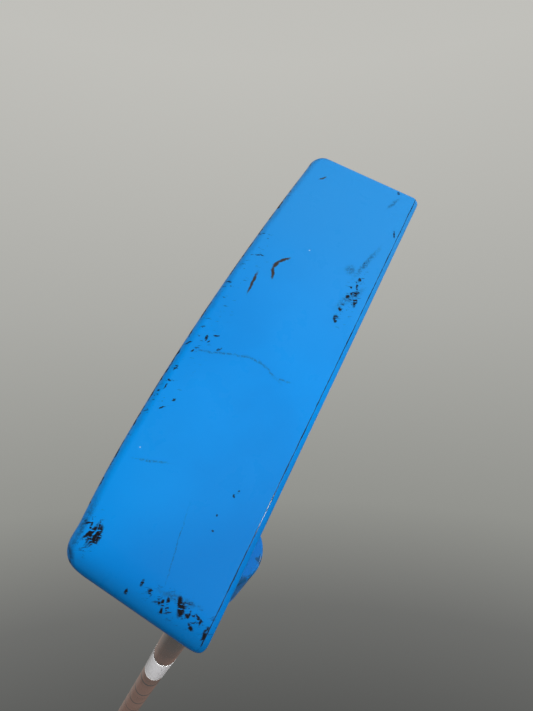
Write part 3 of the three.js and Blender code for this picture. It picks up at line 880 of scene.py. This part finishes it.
def label_ring(wave):
    """One turn of the strip. The outer ply steps up over the lap and the edges are not quite true."""
    turns = [2 * math.pi * j / TUBE_SIDES for j in range(TUBE_SIDES)]
    ring = []
    for turn in turns:
        past_start = turn - LAP_START
        lap = ease(past_start / 0.05) * (1 - ease((past_start - LAP_ANGLE) / 0.30))
        radius = LABEL_INNER + LABEL_PLY * (0.65 + 0.35 * lap) + WAVINESS * math.sin(3 * turn + wave)
        ring.append((radius, turn))
    return ring


label_rings = [round_ring(LABEL_INNER, LABEL_START)]
for i in range(LABEL_RINGS):
    share = i / (LABEL_RINGS - 1)
    height = mix(LABEL_START, LABEL_END, share)
    skew = LABEL_SKEW * (0.5 - share) if i in (0, LABEL_RINGS - 1) else 0.0
    ring = []
    for radius, turn in label_ring(7 * share):
        ring.append((radius * math.cos(turn), radius * math.sin(turn), height + skew * math.sin(turn)))
    label_rings.append(ring)
label_rings += [round_ring(LABEL_INNER, LABEL_END), round_ring(LABEL_INNER, LABEL_START)]
label = lofted("wrapped_label", label_rings, capped=False)
on_axis(label)
only(label)
bpy.ops.object.shade_smooth_by_angle(angle=math.radians(35))

paper, nodes, links = new_material("coated_paper")
tree = paper.node_tree
place = axis_place(tree)
height = put(tree, "ShaderNodeSeparateXYZ", {0: place}).outputs[2]
from_start = sum_of(tree, "SUBTRACT", height, LABEL_START)
to_end = sum_of(tree, "SUBTRACT", LABEL_END, height)
rim = ramp_between(tree, sum_of(tree, "MINIMUM", from_start, to_end), 1.6 * MM, 0.5 * MM)
grime = ramp_between(tree, grain(tree, place, 260, 5.0, 0.7), 0.46, 0.74)
colour = blend_colour(tree, rim, PAPER_RIM, CLEAN_PAPER)
colour = blend_colour(tree, sum_of(tree, "MULTIPLY", grime, 0.45), colour, PAPER_GRIME)
links.new(colour, shader_of(nodes).inputs["Base Color"])
links.new(ramp_between(tree, grime, 0, 1, 0.42, 0.66), shader_of(nodes).inputs["Roughness"])
fibres = grain(tree, stretched(tree, place, (1.0, 1.0, 0.3)), 900, 3.0)
creases = put(tree, "ShaderNodeBump", {"Height": fibres, "Distance": 0.003 * MM, "Strength": 0.5})
links.new(creases.outputs[0], shader_of(nodes).inputs["Normal"])
label.data.materials.append(paper)
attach(label, "root")
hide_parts("shaft_label")


# Grip tape. Cream two-sided tape, wound on the butt of the shaft to hold the grip. The grip covers it but for
# its lower edge.
TAPE_THREAD = (0.50, 0.45, 0.33, 1)
TAPE_CREAM = (0.62, 0.57, 0.43, 1)

tape_material, nodes, links = new_material("cream_tape")
tree = tape_material.node_tree
place = axis_place(tree)
weave_inputs = {"Vector": place, "Scale": 900.0, "Distortion": 1.5}
weave = put(tree, "ShaderNodeTexWave", weave_inputs, bands_direction="DIAGONAL")
colour = blend_colour(tree, weave.outputs["Fac"], TAPE_THREAD, TAPE_CREAM)
links.new(colour, shader_of(nodes).inputs["Base Color"])
roughness = ramp_between(tree, grain(tree, place, 400, 3.0), 0.3, 0.7, 0.8, 0.95)
links.new(roughness, shader_of(nodes).inputs["Roughness"])
for slot in frame["nodes"]["grip_tape"].material_slots:
    slot.material = tape_material


# Grip. Moulded black rubber, flat in front for the thumbs and rounded behind, swelling towards the butt. Fine
# ribs run round its back and sides, and a shallow channel frames the flat front.
GRIP_START = 597 * MM
GRIP_END = 861 * MM
GRIP_LENGTH = GRIP_END - GRIP_START
GRIP_BORE = 7.75 * MM
GRIP_MOUTH = {"half_width": 10.2, "front": 9.6, "back": 10.2}
GRIP_BUTT = {"half_width": 12.4, "front": 10.8, "back": 15.2}
GRIP_BULGE = 2.2
BULGE_FROM_BUTT = 55 * MM
BULGE_REACH = 60 * MM
GRIP_CORNER = 4.0
GRIP_RINGS = 420
GRIP_FRONT_POINTS = 18
GRIP_SIDE_POINTS = 8
GRIP_BACK_POINTS = 56
RIB_PITCH = 4.0 * MM
RIB_DEPTH = 0.35 * MM
CHANNEL_DEPTH = 0.45 * MM
RIB_MARGIN = 22 * MM
RIB_FADE = 4 * MM
GRIP_WALL_POINTS = 6
BORE_CHAMFER = 0.3 * MM
RUBBER_BLACK = (0.012, 0.012, 0.013, 1)
RUBBER_DUST = (0.075, 0.07, 0.065, 1)
LIP = 1.2 * MM


def points_at(*places):
    return [Vector(place) for place in places]


def bezier(points, t):
    while len(points) > 1:
        points = [a.lerp(b, t) for a, b in zip(points, points[1:])]
    return points[0]


def grip_outline(half_width, front, back):
    """One slice of the grip in millimetres, front first, with how ribbed each point is."""
    wide, flat_end, walls = half_width, half_width - GRIP_CORNER, GRIP_WALL_POINTS
    top = front - GRIP_CORNER
    half = GRIP_BACK_POINTS // 2
    left_corner = points_at((-flat_end, front), (-wide, front), (-wide, top))
    right_corner = points_at((wide, top), (wide, front), (flat_end, front))
    left_back = points_at((-wide, 0), (-wide, -0.7 * back), (-0.45 * wide, -back), (0, -back))
    behind = [bezier(left_back, i / half) for i in range(half)]
    channel = [-math.sin(math.pi * i / GRIP_SIDE_POINTS) for i in range(GRIP_SIDE_POINTS)]
    outline = []
    for i in range(GRIP_FRONT_POINTS):
        outline.append((Vector((mix(flat_end, -flat_end, i / GRIP_FRONT_POINTS), front)), 0.0))
    for i in range(GRIP_SIDE_POINTS):
        outline.append((bezier(left_corner, i / GRIP_SIDE_POINTS), channel[i]))
    for i in range(walls):
        outline.append((Vector((-wide, mix(top, 0, i / walls))), ease(2 * i / walls)))
    outline += [(point, 1.0) for point in behind]
    outline.append((Vector((0, -back)), 1.0))
    outline += [(Vector((-point.x, point.y)), 1.0) for point in reversed(behind[1:])]
    for i in range(walls):
        outline.append((Vector((wide, mix(0, top, i / walls))), 1 - ease(2 * i / walls - 1)))
    for i in range(GRIP_SIDE_POINTS):
        outline.append((bezier(right_corner, i / GRIP_SIDE_POINTS), channel[i]))
    return outline


def grip_sizes(share):
    near = max(0.0, 1 - abs((1 - share) * GRIP_LENGTH - BULGE_FROM_BUTT) / BULGE_REACH)
    sizes = {key: mix(GRIP_MOUTH[key], GRIP_BUTT[key], share) for key in GRIP_MOUTH}
    sizes["back"] += GRIP_BULGE * ease(near)
    return sizes


def on_rim(outline, height, inset=0.0, moulding=0.0):
    """Turns a slice to face its front along the local X axis, drawn in by an inset and by its moulding."""
    ring = []
    for point, ribbed in outline:
        reach = point.length * MM
        depth = RIB_DEPTH * ribbed if ribbed > 0 else -CHANNEL_DEPTH * ribbed
        scale = (reach - inset - moulding * depth) / reach * MM
        ring.append((point.y * scale, -point.x * scale, height))
    return ring


grip_rings = []
for i in range(GRIP_RINGS):
    along = GRIP_LENGTH * i / (GRIP_RINGS - 1)
    outline = grip_outline(**grip_sizes(along / GRIP_LENGTH))
    near_end = min(along, GRIP_LENGTH - along)
    ribs = (0.5 - 0.5 * math.cos(2 * math.pi * along / RIB_PITCH)) ** 3
    fade = ease((near_end - RIB_MARGIN) / RIB_FADE)
    lip = LIP * (1 - math.sqrt(min(1.0, near_end / LIP))) if along < LIP else 0.0
    grip_rings.append(on_rim(outline, GRIP_START + along, lip, max(ribs * fade, 0.001)))


def round_ring_on(turns, radius, height):
    """A round ring with its points on the given rays, so that it joins a slice of the grip point by point."""
    return [(radius * math.cos(t), radius * math.sin(t), height) for t in turns]


grip_turns = [math.atan2(y, x) for x, y, z in grip_rings[0]]
mouth_ring = round_ring_on(grip_turns, GRIP_BORE, GRIP_START + BORE_CHAMFER)
grip_rings = [mouth_ring] + grip_rings + [round_ring_on(grip_turns, GRIP_BORE, GRIP_END), mouth_ring]
grip = lofted("rubber_grip", grip_rings, capped=False)
on_axis(grip)
only(grip)
bpy.ops.object.shade_smooth_by_angle(angle=math.radians(50))


def rubber_material(name):
    material, nodes, links = new_material(name)
    tree = material.node_tree
    place = axis_place(tree)
    dust = ramp_between(tree, grain(tree, place, 120, 6.0, 0.7), 0.44, 0.76)
    handled = ramp_between(tree, grain(tree, place, 28, 3.0), 0.40, 0.65)
    colour = blend_colour(tree, sum_of(tree, "MULTIPLY", dust, 0.5), RUBBER_BLACK, RUBBER_DUST)
    links.new(colour, shader_of(nodes).inputs["Base Color"])
    links.new(ramp_between(tree, handled, 0, 1, 0.48, 0.78), shader_of(nodes).inputs["Roughness"])
    pebbles = put(tree, "ShaderNodeTexVoronoi", {"Vector": place, "Scale": 1500.0}).outputs["Distance"]
    skin = put(tree, "ShaderNodeBump", {"Height": pebbles, "Distance": 0.05 * MM, "Strength": 0.5})
    links.new(skin.outputs[0], shader_of(nodes).inputs["Normal"])
    return material


grip_rubber = rubber_material("moulded_rubber")
grip.data.materials.append(grip_rubber)
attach(grip, "root")
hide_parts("grip")


# Grip cap. The moulded end of the grip, slightly domed, with a ring round the vent that let the air out when
# the grip was pushed on.
CAP_BASE = 861.05 * MM
CAP_TOP = 864 * MM
CAP_ROUNDING = 1.4 * MM
VENT_RADIUS = 2.0 * MM
CAP_STEPS = 5
CAP_RIM = 0.5 * MM
# The ring round the vent in millimetres, as (radius, height from the top)
VENT_RING = [(5.0, -0.10), (4.6, -0.45), (4.1, -0.45), (3.7, -0.05), (2.6, 0.0), (2.1, -0.15), (2.0, -0.4)]

butt = grip_outline(**GRIP_BUTT)
cap_turns = [math.atan2(-point.x, point.y) for point, ribbed in butt]
vent_foot = round_ring_on(cap_turns, VENT_RADIUS, CAP_BASE)
cap_rings = [vent_foot, on_rim(butt, CAP_BASE)]
for i in range(CAP_STEPS + 1):
    turn = math.pi / 2 * i / CAP_STEPS
    rim_height = CAP_TOP - CAP_RIM - CAP_ROUNDING * (1 - math.sin(turn))
    cap_rings.append(on_rim(butt, rim_height, CAP_ROUNDING * (1 - math.cos(turn))))
cap_rings += [on_rim(butt, CAP_TOP - 0.30 * MM, 3.0 * MM), on_rim(butt, CAP_TOP - 0.15 * MM, 5.0 * MM)]
for radius, height in VENT_RING:
    cap_rings.append(round_ring_on(cap_turns, radius * MM, CAP_TOP + height * MM))
cap_rings.append(vent_foot)
cap = lofted("domed_grip_cap", cap_rings, capped=False)
on_axis(cap)
only(cap)
bpy.ops.object.shade_smooth_by_angle(angle=math.radians(40))
cap.data.materials.append(rubber_material("cap_rubber"))
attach(cap, "root")
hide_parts("grip_cap")
